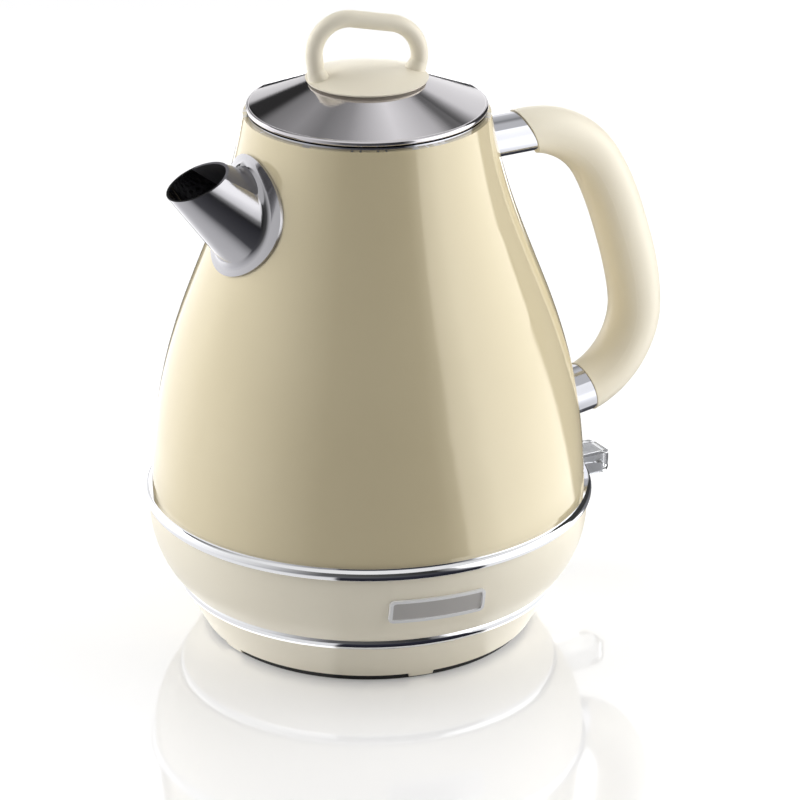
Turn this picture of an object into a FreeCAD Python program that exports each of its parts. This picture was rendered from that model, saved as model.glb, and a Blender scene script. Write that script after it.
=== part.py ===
import FreeCAD
import Part
import math
import os

# Cordless electric kettle: a painted steel jug that lifts off its round power base.
# Millimetres, +Z up, spout towards -X, handle towards +X, the table is z = 0.

Vector = FreeCAD.Vector
up = Vector(0, 0, 1)
across = Vector(0, 1, 0)
origin = Vector(0, 0, 0)

# Fits
weld_gap = 0.05        # welded, pressed or screwed pieces
slide_gap = 0.3        # pieces that lift or move apart
pin_gap = 0.05         # pin in its bore
parting_gap = 0.5      # dark line between jug and base
far = 400.0            # larger than the kettle, for cutting tools

# Power base
foot_height = 2.2
foot_width = 17.5
base_screw_inset = 10.8    # screw ring inside the base's inner wall
base_screw_count = 5
floor_thick = 2.2
rim_over_floor = 0.8
base_taper_height = 15.8
base_taper_run = 8.8
base_shoulder_r = 76.0
base_wall = 2.4
tab_count = 5
tab_angle = 8.5
tab_drop = 1.8
base_turn = -101.5     # the base's front, where the first tab stands
trim_seat_step = 2.0
trim_height = 4.1
trim_bulge = 0.9
trim_lip = 2.5
trim_lip_thick = 1.3

# Cordless coupling between base and jug
tower_r = 16.0
tower_height = 16.0
tower_neck_r = 24.0
coupler_flange = 3.0
coupler_flange_thick = 3.0
coupler_root_r = 13.0
coupler_root_depth = 6.0
pin_r = 2.4
pin_sleeve = 0.6
ring_mid_r = 9.0
ring_thick = 1.0
contact_gap = 0.4
contact_depth = 13.0
contact_floor_gap = 1.0
contact_set_down = 2.0
socket_wall = 7.0

# Cord outlet at the back of the base
cord_r = 3.5
outlet_bore_r = 3.75
outlet_reach = 4.8         # centre of the nose beyond the base's rim
outlet_nose_r = 9.0
outlet_height = 9.0
outlet_edge = 1.5
clamp_inset = 10.8         # clamp inside the base's inner wall
clamp_bar_thick = 2.6
clamp_post_r = 3.2
clamp_post_y = 8.5

# Skirt and rings
skirt_height = 30.4
skirt_overhang = 1.0       # beyond the base's bright ring
skirt_step = 1.0           # beyond the jug body
skirt_sag = 3.4        # how far the bowl swells beyond a straight cone
skirt_wall = 2.5
skirt_lip_thick = 1.5
jug_floor_flange = 1.2
ring_height = 5.4
ring_ledge = 1.5           # shelf of the ring beyond the jug body
ring_bulge = 1.5
ring_lip_share = 0.12      # flat lip beside the body, as a share of the ring's height
ring_sleeve_thick = 2.0
ring_sleeve_rise = 2.3
ring_sleeve_drop = 0.8

# Jug body
body_bottom_r = 87.0
body_top_r = 48.4
body_height = 154.8
body_bottom_pull = 76.2    # lengths and slopes of the curve's end tangents
body_bottom_slope = 0.028
body_top_pull = 61.9
body_top_slope = 0.165
body_wall = 1.0
mouth_inset = 4.4          # mouth inside the jug's upper radius
collar_wall = 2.5
collar_depth = 11.0
collar_lip = 2.8
collar_lip_thick = 1.2

# Heater and control
plate_over_bottom = 3.3
plate_thick = 1.2
spreader_clear = 4.1       # between the spreader and the studs
spreader_thick = 3.0
element_inset = 16.0       # element's ring inside the spreader's edge
element_tube_r = 3.6
element_open_angle = 64.0
element_sunk = 0.6
cold_tail_r = 2.4
cold_tail_length = 12.0
control_flange = 4.0
control_flange_thick = 2.7
disc_r = 9.0
disc_thick = 0.8
disc_spread = 12.0
stud_r = 3.6
stud_count = 3
stud_first_angle = 60.0
floor_boss_r = 5.2
floor_boss_height = 9.0
floor_well_r = 4.2
floor_screw_r = 1.9
floor_screw_length = 20.0
screw_head_thick = 2.0
steam_tube_x = 41.0
steam_tube_r = 5.0
steam_tube_wall = 1.2
steam_tube_top_drop = 15.0
steam_tube_tail = 6.0
steam_clip_width = 3.0
steam_clip_height = 10.0
steam_clip_drop = 2.0
steam_seal_thick = 1.6
steam_seal_lip = 1.0
steam_seal_rim = 1.5
steam_arm_width = 24.0
steam_arm_reach = 13.0
steam_arm_thick = 5.0
steam_jet_gap = 3.0

# Trip lever and switch lever
trip_pivot_r = 1.5
trip_pivot_inset = 4.0
trip_drop = 6.8
trip_width = 14.0
trip_ear_thick = 3.0
trip_ear_half = 4.0
trip_bar_thick = 3.0
trip_front_length = 18.0
trip_overlap = 1.0         # its end lies under the switch lever's tail
switch_pivot_inset = 10.0  # inside the skirt's upper edge
switch_pivot_under_skirt_top = 8.3
switch_pin_r = 1.5
switch_ear_thick = 3.0
switch_hub_r = 4.2
switch_width = 13.0
switch_reach = 36.0        # from the pivot to the paddle's tip
switch_top_rise = 3.8
switch_under_drop = 5.8
switch_nose_r = 5.2
switch_chin_r = 4.2
switch_tail_length = 13.0
switch_tail_thick = 3.0
switch_wall = 1.8
switch_slot_margin = 2.6
lamp_r = 2.2
lamp_length = 10.0
lamp_setback = 16.0        # lamp's middle behind the switch pivot
lamp_rest_half = 2.0

# Spout
spout_drop = 32.7          # below the jug's mouth
spout_lift = 40.0
spout_length = 25.7
spout_root_r = 17.5
spout_mouth_r = 11.6
spout_mouth_slope = 23.0
spout_wall = 1.0
spout_flange_r = 23.8
spout_flange_thick = 1.3
spout_flare_r = 3.5
spout_hole_r = 15.0
filter_r = 19.0
filter_window_r = 15.0
filter_thick = 2.4
filter_tab_thick = 2.0
filter_tab_width = 9.0
filter_tab_length = 7.0
filter_tab_inset = 2.4
mesh_thick = 0.5
mesh_hole_r = 0.9
mesh_pitch = 3.2

# Handle
handle_reach = 23.6        # upper joint beyond the jug's mouth radius
handle_drop = 20.1         # below the jug's mouth
upper_bend_share = 0.261   # bend radii, as shares of the jug body's height
upper_bend_turn = 64.0
back_bend_share = 1.292
back_bend_turn = 16.6
lower_bend_share = 0.2261
lower_bend_turn = 92.0
section_turn = 16.0        # turn from one section of the handle to the next
handle_top_r = 8.9
handle_mid_r = 11.0
handle_low_r = 10.5
handle_wall = 2.6
handle_tail = 8.0
handle_seam_share = 0.45
joint_reach = 25.0         # height to each side of a joint that its cut trims
upper_cut_tilt = 25.0
lower_cut_turn = 81.0      # how far round the last bend the grip ends
lower_cut_tilt = 16.0
lower_ferrule_tilt = 8.0
ferrule_step = 0.45
ferrule_wall = 1.2
bracket_r = 4.0
bracket_into_handle = 11.0
handle_screw_r = 1.5
handle_screw_head_r = 3.0
handle_screw_head_thick = 1.0
handle_screw_length = 6.3
upper_screw_setback = 4.0
lower_screw_turn = 9.0

# Lid
lid_rim_inset = 1.2        # inside the jug's upper radius
lid_rim_bead = 1.2
lid_cone_top_r = 21.0
lid_cone_rise = 9.8
lid_sheet = 1.0
lid_turn = -11.5           # the lid sits a little turned from the handle's plane
liner_depth = 11.0
liner_wall = 1.4
liner_gap = 1.2            # between the liner and the rim collar, for the gasket
gasket_height = 3.0
knob_disc_r = 24.0
knob_disc_edge = 0.7
knob_dome_rise = 4.6
knob_loop_r = 3.4
knob_half_span = 21.4
knob_foot_x = 20.3         # the legs lean in towards their feet
knob_front_rise = 26.0     # loop's centre line above the disc's underside, spout side
knob_front_bend = 13.0
knob_back_rise = 22.8
knob_back_bend = 14.0
knob_foot_flare = 1.2
knob_foot_height = 6.0
lid_screw_r = 1.5
lid_screw_x = 14.0
lid_screw_bite = 2.0

# Badge plate on the skirt
badge_width = 39.0
badge_height = 10.5
badge_corner_r = 2.0
badge_thick = 1.3
badge_frame = 1.2
badge_recess = 0.5
badge_turn = -101.5
badge_rise = 16.8          # badge's middle above the skirt's lower edge

# Levels that follow from the sizes above
base_floor_top = foot_height + floor_thick
base_rim_z = foot_height + rim_over_floor
base_shoulder_z = base_rim_z + base_taper_height
trim_top_z = base_shoulder_z + trim_height
base_deck_z = trim_top_z - trim_lip_thick
base_deck_under = base_deck_z - base_wall
base_rim_r = base_shoulder_r - base_taper_run
trim_seat_r = base_shoulder_r - trim_seat_step
trim_lip_r = trim_seat_r - trim_lip
base_inner_r = base_rim_r - base_wall
base_screw_ring_r = base_inner_r - base_screw_inset
foot_outer_r = base_inner_r - slide_gap
outlet_nose_x = base_rim_r + outlet_reach
clamp_x = base_inner_r - clamp_inset
base_inner_top_r = trim_seat_r - base_wall
tower_top_z = base_deck_z + tower_height
skirt_bottom_z = trim_top_z + parting_gap
skirt_bottom_r = base_shoulder_r + trim_bulge + skirt_overhang
skirt_top_r = body_bottom_r + skirt_step
ring_shelf_r = body_bottom_r + ring_ledge
ring_r = ring_shelf_r + ring_bulge
skirt_top_z = skirt_bottom_z + skirt_height
body_bottom_z = skirt_top_z + ring_height
body_top_z = body_bottom_z + body_height
jug_floor_z = base_deck_z + slide_gap
jug_floor_r = trim_lip_r - slide_gap
stud_ring_r = jug_floor_r - floor_boss_r - slide_gap
jug_flange_z = skirt_bottom_z + slide_gap
jug_floor_top = jug_flange_z + jug_floor_flange
spreader_r = stud_ring_r - stud_r - spreader_clear
element_ring_r = spreader_r - element_inset
socket_r = tower_r + slide_gap
socket_outer_r = socket_r + socket_wall
socket_roof_z = tower_top_z + 2 * slide_gap
plate_z = body_bottom_z + plate_over_bottom
spreader_z = plate_z - spreader_thick
control_top_z = spreader_z - disc_thick
element_z = spreader_z + element_sunk - element_tube_r
steam_arm_z = plate_z - steam_tube_tail - steam_jet_gap
trip_pivot_x = steam_tube_x + steam_arm_reach - trip_pivot_inset
trip_pivot_z = steam_arm_z - steam_arm_thick - trip_drop
switch_pivot_x = skirt_top_r - switch_pivot_inset
switch_pivot_z = skirt_top_z - switch_pivot_under_skirt_top
trip_back_length = switch_pivot_x - switch_tail_length + trip_overlap - trip_pivot_x
lamp_x = switch_pivot_x - lamp_setback
badge_z = skirt_bottom_z + badge_rise
spout_z = body_top_z - spout_drop
handle_top_x = body_top_r + handle_reach
handle_top_z = body_top_z - handle_drop
upper_bend_r = body_height * upper_bend_share
back_bend_r = body_height * back_bend_share
lower_bend_r = body_height * lower_bend_share
collar_top_z = body_top_z + collar_lip_thick
lid_rim_r = body_top_r - lid_rim_inset
lid_rim_z = collar_top_z + slide_gap
knob_z = lid_rim_z + lid_rim_bead + lid_cone_rise
mouth_r = body_top_r - mouth_inset
liner_r = mouth_r - collar_wall - liner_gap
cord_z = base_floor_top + cord_r


# Helpers
def at(r, z):
    return Vector(r, 0, z)


def line(a, b):
    return Part.makeLine(at(*a), at(*b))


def arc(a, through, b):
    return Part.Arc(at(*a), at(*through), at(*b)).toShape()


def chain(points):
    return [line(a, b) for a, b in zip(points, points[1:])]


def spin(edges, angle=360):
    return Part.Face(Part.Wire(edges)).revolve(origin, up, angle)


def lathe(points):
    return spin(chain(points + points[:1]))


def rod(r, start, end):
    return Part.makeCylinder(r, (end - start).Length, start, end - start)


def post(r, z0, z1, x=0.0, y=0.0):
    return Part.makeCylinder(r, z1 - z0, Vector(x, y, z0))


def block(x0, x1, y0, y1, z0, z1):
    return Part.makeBox(x1 - x0, y1 - y0, z1 - z0, Vector(x0, y0, z0))


def turned(shape, angle, axis=up, about=origin):
    copy = shape.copy()
    copy.rotate(about, axis, angle)
    return copy


def ring_of(shape, count, first=0.0):
    return [turned(shape, first + 360.0 * i / count) for i in range(count)]


def join(shapes):
    return shapes[0].fuse(shapes[1:]).removeSplitter()


def beyond(point, normal):
    """Half space on the side of the plane that its normal points to."""
    tool = Part.makeBox(far, far, far, Vector(-far / 2, -far / 2, 0))
    tool.Placement = FreeCAD.Placement(point, FreeCAD.Rotation(up, normal))
    return tool


def slope_direction(angle):
    turn = math.radians(angle)
    return Vector(math.cos(turn), 0, math.sin(turn))


def screw(r, head_r, tip, head, head_thick):
    """Screw from its tip to the seat of its head."""
    away = (head - tip).normalize()
    return join([rod(r, tip, head), rod(head_r, head, head + away * head_thick)])


# Body curve
def body_poles(grow=0.0):
    low = (body_bottom_r + grow, body_bottom_z)
    high = (body_top_r + grow, body_top_z)
    low_pull = (low[0] - body_bottom_slope * body_bottom_pull, low[1] + body_bottom_pull)
    high_pull = (high[0] + body_top_slope * body_top_pull, high[1] - body_top_pull)
    return [low, low_pull, high_pull, high]


def body_curve(grow=0.0):
    curve = Part.BezierCurve()
    curve.setPoles([at(*pole) for pole in body_poles(grow)])
    return curve


def body_radius(z, grow=0.0):
    level = Part.makeLine(at(0, z), at(far, z))
    return body_curve(grow).toShape().distToShape(level)[1][0][0].x


def body_slope(z):
    step = 0.5
    rise = body_radius(z - step) - body_radius(z + step)
    return math.degrees(math.atan2(rise, 2 * step))


def body_solid(grow=0.0):
    low, _, _, high = body_poles(grow)
    edges = [body_curve(grow).toShape()]
    edges += chain([high, (0, high[1]), (0, low[1]), low])
    return spin(edges)


# Power base
def base_shell():
    shell = lathe([
        (base_rim_r, base_rim_z), (base_shoulder_r, base_shoulder_z),
        (trim_seat_r, base_shoulder_z), (trim_seat_r, base_deck_z),
        (tower_neck_r + weld_gap, base_deck_z), (tower_neck_r + weld_gap, base_deck_under),
        (base_inner_top_r, base_deck_under), (base_inner_r, base_rim_z)])
    taper = (base_shoulder_r - base_rim_r) / base_taper_height
    tab_r = base_rim_r - taper * tab_drop
    tab = spin(chain([
        (base_inner_r, base_rim_z), (base_rim_r, base_rim_z), (tab_r, base_rim_z - tab_drop),
        (base_inner_r, base_rim_z - tab_drop), (base_inner_r, base_rim_z)]), tab_angle)
    tabs = ring_of(tab, tab_count, base_turn - tab_angle / 2)
    boss = post(floor_boss_r, base_floor_top, base_deck_under, base_screw_ring_r)
    bosses = ring_of(boss, base_screw_count, base_turn)
    shell = join([shell] + tabs + bosses)
    bore = post(floor_screw_r + weld_gap, 0, base_deck_under - base_wall, base_screw_ring_r)
    way = rod(outlet_bore_r, Vector(0, 0, cord_z), Vector(far, 0, cord_z))
    way = way.common(block(clamp_x, far, -cord_r * 2, cord_r * 2, 0, base_deck_z))
    return shell.cut(ring_of(bore, base_screw_count, base_turn) + [way])


def base_trim_ring():
    seat_r = trim_seat_r + weld_gap
    top_r = base_shoulder_r + trim_bulge
    middle = (top_r + trim_bulge / 2, (base_shoulder_z + trim_top_z) / 2 + trim_bulge)
    edges = [arc((base_shoulder_r, base_shoulder_z), middle, (top_r, trim_top_z))]
    edges += chain([
        (top_r, trim_top_z), (trim_lip_r, trim_top_z), (trim_lip_r, base_deck_z),
        (seat_r, base_deck_z), (seat_r, base_shoulder_z), (base_shoulder_r, base_shoulder_z)])
    return spin(edges)


def base_floor():
    plate = post(base_inner_r - slide_gap, foot_height, base_floor_top)
    posts = [post(clamp_post_r, base_floor_top, cord_z + cord_r, clamp_x, side * clamp_post_y)
             for side in (-1, 1)]
    bore = post(floor_screw_r + pin_gap, 0, far, base_screw_ring_r)
    taps = [post(lid_screw_r + weld_gap, base_floor_top, far, clamp_x, side * clamp_post_y)
            for side in (-1, 1)]
    return join([plate] + posts).cut(ring_of(bore, base_screw_count, base_turn) + taps)


def foot_ring():
    """Rubber ring that the base stands on, with a well for each screw head."""
    ring = post(foot_outer_r, 0, foot_height).cut(post(foot_outer_r - foot_width, 0, far))
    well = post(floor_boss_r, 0, far, base_screw_ring_r)
    return ring.cut(ring_of(well, base_screw_count, base_turn))


def base_screws():
    top = Vector(base_screw_ring_r, 0, base_deck_under - base_wall - slide_gap)
    seat = Vector(base_screw_ring_r, 0, foot_height)
    one = screw(floor_screw_r, floor_boss_r - slide_gap, top, seat, foot_height - slide_gap)
    return ring_of(one, base_screw_count, base_turn)


def contact_slots(z0, z1):
    """Pin hole and ring slot of the base tower."""
    hole = post(pin_r + contact_gap + pin_sleeve, z0, z1)
    outer = post(ring_mid_r + ring_thick / 2 + contact_gap + pin_sleeve, z0, z1)
    inner = post(ring_mid_r - ring_thick / 2 - contact_gap, z0, z1)
    return [hole, outer.cut(inner)]


def base_connector():
    body = join([
        post(tower_r, base_deck_under, tower_top_z),
        post(tower_neck_r, base_deck_under - coupler_flange_thick, base_deck_z),
        post(tower_neck_r + coupler_flange, base_deck_under - coupler_flange_thick, base_deck_under),
        post(coupler_root_r, base_deck_under - coupler_root_depth, base_deck_under)])
    floor = tower_top_z - contact_depth - contact_floor_gap
    return body.cut(contact_slots(floor, far))


def base_contacts():
    floor = tower_top_z - contact_depth - contact_floor_gap
    hole, slot = contact_slots(floor, tower_top_z - contact_set_down)
    sleeve = hole.cut(post(pin_r + contact_gap, 0, far))
    band = slot.cut(post(ring_mid_r + ring_thick / 2 + contact_gap, 0, far))
    return [sleeve, band]


def cord_outlet():
    """Black boss with a round nose behind the base, seated on its taper."""
    low = cord_z - outlet_height / 2
    high = cord_z + outlet_height / 2
    boss = join([post(outlet_nose_r, low, high, outlet_nose_x),
                 block(0, outlet_nose_x, -outlet_nose_r, outlet_nose_r, low, high)])
    rims = [e for e in boss.Edges if e.BoundBox.ZLength < 0.1 and e.BoundBox.XMax > 0.1]
    boss = boss.makeFillet(outlet_edge, rims)
    cone = lathe([
        (0, 0), (base_rim_r + weld_gap, 0), (base_rim_r + weld_gap, base_rim_z),
        (base_shoulder_r + weld_gap, base_shoulder_z), (base_shoulder_r + weld_gap, far), (0, far)])
    bore = rod(outlet_bore_r, Vector(0, 0, cord_z), Vector(far, 0, cord_z))
    return boss.cut([cone, bore])


def cord_clamp():
    seat = cord_z + cord_r
    bar = block(clamp_x - clamp_post_r, clamp_x + clamp_post_r,
                -clamp_post_y - clamp_post_r, clamp_post_y + clamp_post_r,
                seat, seat + clamp_bar_thick)
    return bar.cut([post(lid_screw_r + pin_gap, 0, far, clamp_x, side * clamp_post_y)
                    for side in (-1, 1)])


def clamp_screws():
    seat = cord_z + cord_r + clamp_bar_thick
    return [screw(lid_screw_r, clamp_post_r, Vector(clamp_x, side * clamp_post_y, base_floor_top),
                  Vector(clamp_x, side * clamp_post_y, seat), screw_head_thick) for side in (-1, 1)]


# Skirt, rings and jug floor
def skirt_outline(grow=0.0):
    """Bowl-shaped arc from the skirt's lower edge to its upper edge."""
    low = (skirt_bottom_r + grow, skirt_bottom_z)
    high = (skirt_top_r + grow, skirt_top_z)
    chord = math.hypot(high[0] - low[0], high[1] - low[1])
    out = ((high[1] - low[1]) / chord, (low[0] - high[0]) / chord)
    middle = ((low[0] + high[0]) / 2 + out[0] * skirt_sag,
              (low[1] + high[1]) / 2 + out[1] * skirt_sag)
    return low, middle, high


def skirt_solid(grow=0.0):
    low, middle, high = skirt_outline(grow)
    return spin([arc(low, middle, high)] + chain([high, (0, high[1]), (0, low[1]), low]))


def skirt():
    shell = skirt_solid().cut(skirt_solid(-skirt_wall))
    lip = post(far, jug_floor_top, jug_floor_top + skirt_lip_thick)
    lip = lip.common(skirt_solid(-skirt_wall / 2)).cut(post(jug_floor_r, 0, far))
    ear_y = switch_width / 2 + slide_gap
    ears = []
    for side in (-1, 1):
        near = side * ear_y
        away = side * (ear_y + switch_ear_thick)
        ears.append(block(switch_pivot_x - switch_hub_r, far, min(near, away), max(near, away),
                          switch_pivot_z - switch_hub_r, switch_pivot_z + switch_hub_r))
    ears = [ear.common(skirt_solid(-skirt_wall / 2)) for ear in ears]
    shell = join([shell, lip] + ears)
    slot = block(switch_pivot_x + switch_hub_r, far, -ear_y, ear_y,
                 switch_pivot_z - switch_under_drop - switch_slot_margin, far)
    return shell.cut([slot, pivot_rod(switch_pin_r + weld_gap)])


def skirt_ring():
    sleeve_r = body_bottom_r - body_wall - slide_gap
    inner_r = sleeve_r - ring_sleeve_thick
    low_z = skirt_top_z - ring_sleeve_drop
    sleeve_low_r = skirt_top_r - skirt_wall - slide_gap
    shelf_z = body_bottom_z - ring_height * ring_lip_share
    edges = chain([
        (ring_shelf_r, skirt_top_z), (sleeve_low_r, skirt_top_z), (sleeve_low_r, low_z),
        (inner_r, low_z), (inner_r, body_bottom_z + ring_sleeve_rise),
        (sleeve_r, body_bottom_z + ring_sleeve_rise), (sleeve_r, body_bottom_z),
        (ring_shelf_r, body_bottom_z), (ring_shelf_r, shelf_z)])
    edges.append(arc((ring_shelf_r, shelf_z), (ring_r, (skirt_top_z + shelf_z) / 2),
                     (ring_shelf_r, skirt_top_z)))
    return spin(edges)


def badge_blank(width, height, corner_r):
    plate = block(-width / 2, width / 2, -far / 2, 0, -height / 2, height / 2)
    edges = [e for e in plate.Edges if abs(e.tangentAt(e.FirstParameter).y) > 0.9]
    plate = plate.makeFillet(corner_r, edges)
    plate.translate(Vector(0, 0, badge_z))
    return turned(plate, badge_turn + 90)


def badge_plate():
    layer = skirt_solid(badge_thick).cut(skirt_solid(weld_gap))
    plate = layer.common(badge_blank(badge_width, badge_height, badge_corner_r))
    inner = badge_blank(badge_width - 2 * badge_frame, badge_height - 2 * badge_frame,
                        badge_corner_r - badge_frame / 2)
    face = skirt_solid(badge_thick + badge_recess).cut(skirt_solid(badge_thick - badge_recess))
    return plate.cut(face.common(inner))


def stud_spots(shape):
    return ring_of(shape, stud_count, stud_first_angle)


def jug_floor():
    plate = join([post(jug_floor_r - slide_gap, jug_floor_z, jug_floor_top),
                  post(skirt_bottom_r - skirt_wall - slide_gap, jug_flange_z, jug_floor_top)])
    boss = post(floor_boss_r, jug_floor_top, jug_floor_top + floor_boss_height, stud_ring_r)
    rest = block(lamp_x - lamp_rest_half, lamp_x + lamp_rest_half, -lamp_r, lamp_r,
                 jug_floor_top, jug_floor_top + floor_boss_height / 2)
    plate = join([plate, rest] + stud_spots(boss))
    well = post(floor_well_r, 0, jug_floor_z + screw_head_thick + slide_gap, stud_ring_r)
    bore = post(floor_screw_r + pin_gap, 0, far, stud_ring_r)
    hole = post(socket_outer_r + weld_gap, 0, far)
    bed = lamp_rod(lamp_r + weld_gap)
    return plate.cut(stud_spots(well) + stud_spots(bore) + [hole, bed])


def floor_screws():
    seat = jug_floor_z + screw_head_thick + slide_gap
    one = screw(floor_screw_r, floor_well_r - slide_gap,
                Vector(stud_ring_r, 0, seat + floor_screw_length), Vector(stud_ring_r, 0, seat),
                screw_head_thick)
    return stud_spots(one)


def heater_studs():
    stud = post(stud_r, jug_floor_top + floor_boss_height, plate_z, stud_ring_r)
    bore = post(floor_screw_r + weld_gap, 0, plate_z - stud_r, stud_ring_r)
    return stud_spots(stud.cut(bore))


# Jug body and mouth
def body_shell():
    shell = body_solid().cut(body_solid(-body_wall))
    shoulder = lathe([
        (mouth_r, body_top_z - body_wall), (body_top_r - body_wall / 2, body_top_z - body_wall),
        (body_top_r - body_wall / 2, body_top_z), (mouth_r, body_top_z)])
    shell = join([shell, shoulder])
    hole = spout_rod(spout_hole_r, -far / 4, far / 4)
    return shell.cut(hole)


def rim_collar():
    sleeve_r = mouth_r - weld_gap
    inner_r = sleeve_r - collar_wall
    return lathe([
        (inner_r, body_top_z - collar_depth), (sleeve_r, body_top_z - collar_depth),
        (sleeve_r, body_top_z), (mouth_r + collar_lip, body_top_z),
        (mouth_r + collar_lip, collar_top_z), (inner_r, collar_top_z)])


# Spout and its filter
def spout_start():
    return Vector(-body_radius(spout_z), 0, spout_z)


def spout_axis():
    lift = math.radians(spout_lift)
    return Vector(-math.cos(lift), 0, math.sin(lift))


def wall_normal():
    slope = math.radians(body_slope(spout_z))
    return Vector(-math.cos(slope), 0, math.sin(slope))


def spout_rod(r, start, end):
    return rod(r, spout_start() + spout_axis() * start, spout_start() + spout_axis() * end)


def spout_cone(inset):
    """Tapering round bar along the spout, from inside the jug to beyond the mouth."""
    taper = (spout_root_r - spout_mouth_r) / spout_length
    behind = spout_root_r
    length = behind + spout_length * 1.5
    return Part.makeCone(spout_root_r + taper * behind - inset,
                         spout_mouth_r - taper * spout_length / 2 - inset, length,
                         spout_start() - spout_axis() * behind, spout_axis())


def spout():
    flange = body_solid(spout_flange_thick).cut(body_solid(weld_gap))
    collar = rod(spout_flange_r, spout_start(), spout_start() + wall_normal() * spout_flange_r)
    back = rod(spout_flange_r, spout_start() - wall_normal() * spout_flange_r, spout_start())
    flange = flange.common(join([collar, back]))
    tube = spout_cone(0).cut(body_solid(weld_gap))
    mouth = spout_start() + spout_axis() * spout_length
    slope = math.radians(spout_mouth_slope)
    tube = tube.cut(beyond(mouth, Vector(-math.sin(slope), 0, math.cos(slope))))
    whole = join([flange, tube])
    whole = whole.makeFillet(spout_flare_r, spout_foot_edges(whole))
    return whole.cut(spout_cone(spout_wall))


def spout_foot_edges(shape):
    """Edges where the tube's outer cone meets the flange."""
    cone = spout_cone(0)
    found = []
    for edge in shape.Edges:
        middle = edge.valueAt((edge.FirstParameter + edge.LastParameter) / 2)
        along = (middle - spout_start()).dot(wall_normal())
        on_cone = cone.Shells[0].distToShape(Part.Vertex(middle))[0] < 0.01
        if on_cone and 0 < along + spout_flange_r / 2 < spout_flange_r:
            found.append(edge)
    return found


def filter_rod(r):
    return rod(r, spout_start() - wall_normal() * spout_flange_r,
               spout_start() + wall_normal() * spout_flange_r)


def filter_layer(outer_gap, thick):
    near = body_wall + outer_gap
    return body_solid(-near).cut(body_solid(-near - thick))


def filter_frame():
    frame = filter_layer(slide_gap, filter_thick).common(filter_rod(filter_r))
    frame = frame.cut(filter_rod(filter_window_r))
    inward = wall_normal() * -1
    root = spout_start() + inward * (body_wall + slide_gap + filter_thick / 2)
    along = inward.cross(across)
    tab = block(-filter_tab_thick / 2, filter_tab_thick / 2,
                -filter_tab_width / 2, filter_tab_width / 2, 0, filter_tab_length)
    place = FreeCAD.Placement(root - along * (filter_r - filter_tab_inset),
                              FreeCAD.Rotation(along, across, inward, "ZYX"))
    tab.Placement = place.multiply(tab.Placement)
    return join([frame, tab])


def filter_mesh():
    sheet = filter_layer(slide_gap + filter_thick / 2, mesh_thick)
    sheet = sheet.common(filter_rod(filter_window_r - weld_gap))
    hole = filter_rod(mesh_hole_r)
    along = wall_normal().cross(across)
    reach = filter_window_r - 2 * mesh_hole_r
    count = int(reach / mesh_pitch)
    holes = []
    for i in range(-count, count + 1):
        for j in range(-count, count + 1):
            if math.hypot(i, j) * mesh_pitch < reach:
                one = hole.copy()
                one.translate(across * (i * mesh_pitch) + along * (j * mesh_pitch))
                holes.append(one)
    return sheet.cut(holes)


# Heater and control
def heater_plate():
    plate = post(far, plate_z, plate_z + plate_thick)
    plate = plate.common(body_solid(-body_wall - weld_gap))
    return plate.cut(post(steam_tube_r + steam_seal_thick, 0, far, steam_tube_x))


def element_sweep():
    turn = 360.0 - element_open_angle
    ring = Part.makeTorus(element_ring_r, element_tube_r, at(0, element_z), up, 0, 360, turn)
    return turned(ring, element_open_angle / 2)


def heating_element():
    tail = post(cold_tail_r, element_z - cold_tail_length, element_z, element_ring_r)
    back = math.degrees(element_tube_r / element_ring_r)
    tails = [turned(tail, side * (element_open_angle / 2 + back)) for side in (-1, 1)]
    return join([element_sweep()] + tails)


def heat_spreader():
    disc = post(spreader_r, spreader_z, plate_z)
    hole = post(steam_tube_r + steam_seal_thick + steam_seal_lip + slide_gap, 0, far, steam_tube_x)
    return disc.cut([hole, heating_element()])


def control_housing():
    body = join([
        post(socket_outer_r, jug_floor_z, control_top_z),
        post(socket_outer_r + control_flange, jug_floor_top, jug_floor_top + control_flange_thick),
        block(0, steam_tube_x + steam_arm_reach, -steam_arm_width / 2, steam_arm_width / 2,
              steam_arm_z - steam_arm_thick, steam_arm_z)])
    ears = []
    for side in (-1, 1):
        inner = side * (trip_width / 2 + slide_gap)
        outer = inner + side * trip_ear_thick
        ears.append(block(trip_pivot_x - trip_ear_half, trip_pivot_x + trip_ear_half,
                          min(inner, outer), max(inner, outer),
                          trip_pivot_z - trip_ear_half, steam_arm_z - steam_arm_thick))
    body = join([body] + ears)
    cavity = post(socket_r, 0, socket_roof_z)
    return body.cut([cavity, trip_axle(trip_pivot_r + pin_gap)])


def plug_contacts():
    low = tower_top_z - contact_depth
    pin = post(pin_r, low, socket_roof_z)
    band = post(ring_mid_r + ring_thick / 2, low, socket_roof_z)
    return [pin, band.cut(post(ring_mid_r - ring_thick / 2, 0, far))]


def dry_boil_discs():
    return [post(disc_r, control_top_z, spreader_z, 0, side * disc_spread) for side in (-1, 1)]


def steam_disc():
    return post(disc_r, steam_arm_z, steam_arm_z + disc_thick, steam_tube_x)


def steam_tube():
    low = plate_z - steam_tube_tail
    high = body_top_z - steam_tube_top_drop
    tube = post(steam_tube_r, low, high, steam_tube_x)
    clip_z = high - steam_clip_drop
    clip = block(steam_tube_x, far, -steam_clip_width / 2, steam_clip_width / 2,
                 clip_z - steam_clip_height, clip_z)
    clip = clip.common(body_solid(-body_wall - weld_gap))
    return join([tube, clip]).cut(post(steam_tube_r - steam_tube_wall, 0, far, steam_tube_x))


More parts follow.
